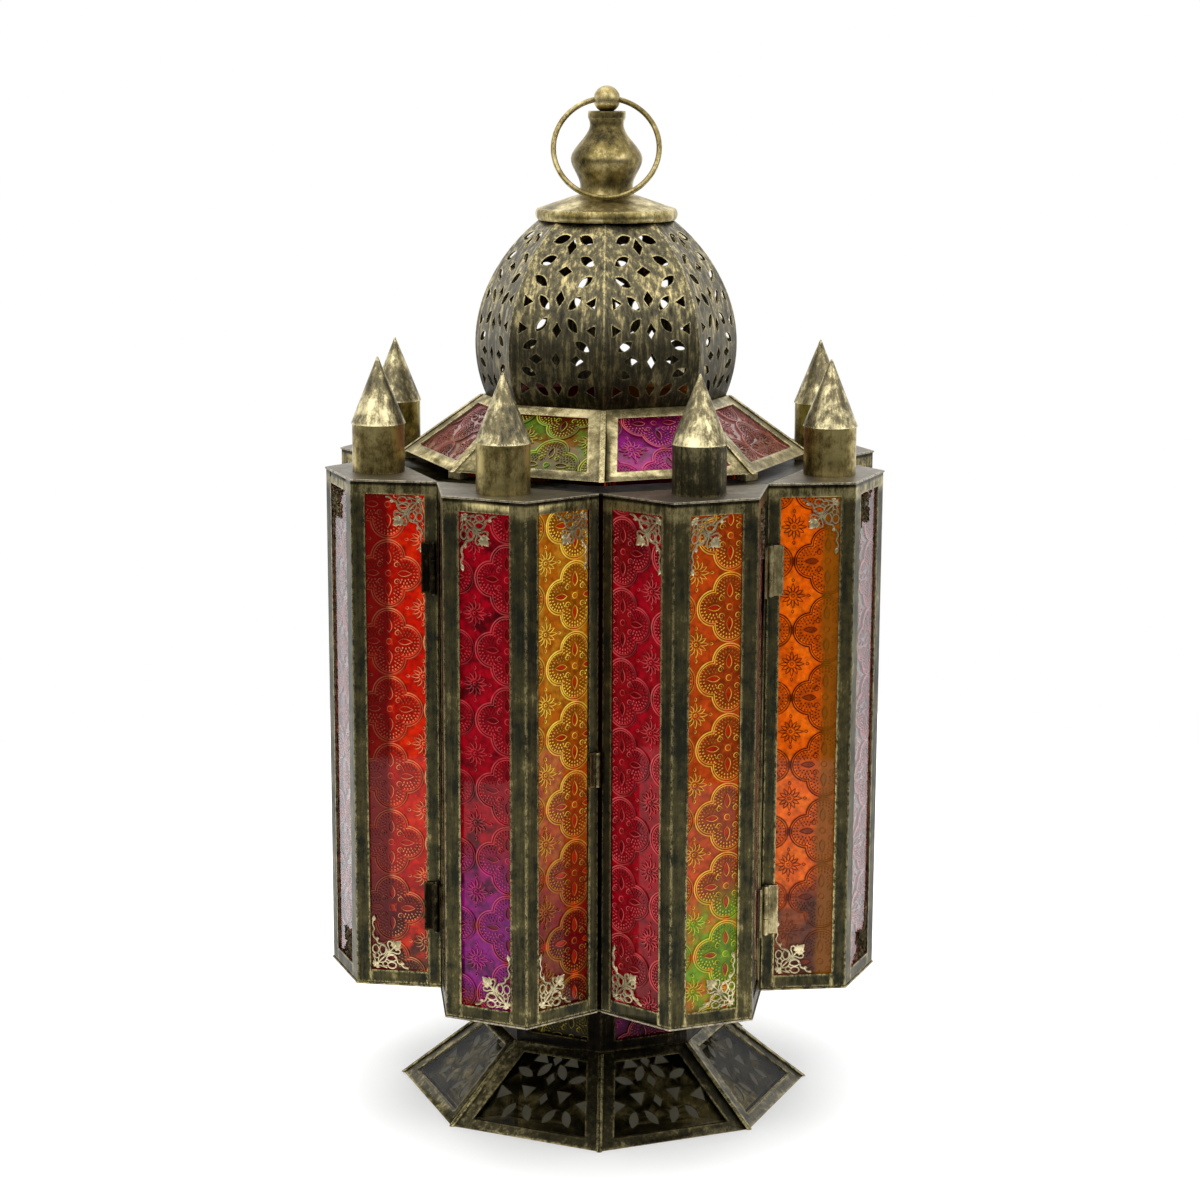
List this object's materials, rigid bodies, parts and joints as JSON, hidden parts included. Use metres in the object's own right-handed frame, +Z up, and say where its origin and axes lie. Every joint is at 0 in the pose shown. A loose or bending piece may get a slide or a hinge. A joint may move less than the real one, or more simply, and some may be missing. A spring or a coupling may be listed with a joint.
{
  "type": "ramadan fanous lantern",
  "caption": "Standing brass lantern with coloured glass turrets, a pierced dome, a flared foot, hinged glazed doors and a carrying ring, lit by a candle.",
  "frame": {"origin": "on the ground under the middle of the foot", "axes": "+Z up; the doors face -Y; the carrying ring hangs across X"},
  "size_m": [0.2298, 0.2298, 0.427],
  "materials": {
    "antique_brass": "antiqued, brushed",
    "rubbed_brass": "antiqued, rubbed bright",
    "filigree_brass": "antiqued",
    "steel": "dull",
    "red_glass": "pressed pattern",
    "crimson_glass": "pressed pattern",
    "amber_glass": "pressed pattern",
    "magenta_glass": "pressed pattern",
    "clear_glass": "rippled"
  },
  "bodies": {
    "lantern": {"foot_frames": "antique_brass", "foot_ridges": "antique_brass", "foot_panes": "clear_glass", "foot_lattice": "antique_brass", "neck_frames": "antique_brass", "neck_panes": "magenta_glass", "floor_plate": "antique_brass", "drip_pan": "antique_brass", "candle_cup": "antique_brass", "lintel_ring": "antique_brass", "turret_1_frame": "antique_brass", "turret_1_glass": "red_glass", "turret_2_frame": "antique_brass", "turret_2_glass": "crimson_glass", "turret_3_frame": "antique_brass", "turret_3_glass": "red_glass", "turret_4_frame": "antique_brass", "turret_4_glass": "amber_glass", "turret_5_frame": "antique_brass", "turret_5_glass": "crimson_glass", "turret_6_frame": "antique_brass", "turret_6_glass": "amber_glass", "turret_bottom_plates": "antique_brass", "turret_top_plates": "antique_brass", "turret_filigree": "filigree_brass", "pinnacle_barrels": "rubbed_brass", "pinnacle_cones": "rubbed_brass", "left_hinge_post_leaves": "antique_brass", "left_hinge_pins": "steel", "right_hinge_post_leaves": "antique_brass", "right_hinge_pins": "steel", "roof_frames": "antique_brass", "roof_ridges": "antique_brass", "roof_panes": "magenta_glass", "roof_tabs": "antique_brass", "dome_gores": "rubbed_brass", "dome_cap": "rubbed_brass", "finial": "rubbed_brass", "finial_stem": "steel", "stem_nut": "steel", "top_ball": "antique_brass"},
    "left_door": {"left_door_frame": "antique_brass", "left_door_glass": "crimson_glass", "left_door_plates": "antique_brass", "left_door_filigree": "filigree_brass", "left_door_barrel": "rubbed_brass", "left_door_cone": "rubbed_brass", "left_hinge_door_leaves": "antique_brass", "door_catch": "antique_brass"},
    "right_door": {"right_door_frame": "antique_brass", "right_door_glass": "amber_glass", "right_door_plates": "antique_brass", "right_door_filigree": "filigree_brass", "right_door_barrel": "rubbed_brass", "right_door_cone": "rubbed_brass", "right_hinge_door_leaves": "antique_brass"},
    "ring": {"carrying_ring": "antique_brass"}
  },
  "joints": [
    {"name": "left_door_swing", "type": "hinge", "parent": "lantern", "child": "left_door", "pos_m": [-0.06716, -0.06716, 0.169], "axis": [0, 0, -1], "range_deg": [0, 100]},
    {"name": "right_door_swing", "type": "hinge", "parent": "lantern", "child": "right_door", "pos_m": [0.06716, -0.06716, 0.169], "axis": [0, 0, 1], "range_deg": [0, 100]},
    {"name": "ring_swing", "type": "hinge", "parent": "lantern", "child": "ring", "pos_m": [0, 0, 0.42153], "axis": [-1, 0, 0], "range_deg": [0, 311]}
  ]
}
